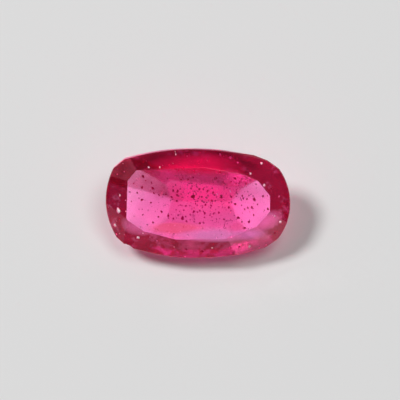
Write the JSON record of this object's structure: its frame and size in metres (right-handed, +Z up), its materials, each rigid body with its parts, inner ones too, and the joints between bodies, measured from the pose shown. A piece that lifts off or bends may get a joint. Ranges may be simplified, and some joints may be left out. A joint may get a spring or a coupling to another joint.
{
  "type": "cushion-cut ruby gemstone",
  "caption": "Loose ruby cut as an elongated cushion with a large table, a faceted crown, a rough girdle and a stepped pavilion, lying on one pavilion face.",
  "frame": {"origin": "on the surface the stone lies on, under the middle of its bounding box", "axes": "+Z up, square to the pavilion face the stone lies on; +X along the length of the stone; the table leans 27 degrees towards -Y"},
  "size_m": [0.012, 0.0066, 0.0049],
  "materials": {
    "ruby": "polished"
  },
  "bodies": {
    "root": {"ruby": "ruby"}
  },
  "joints": []
}
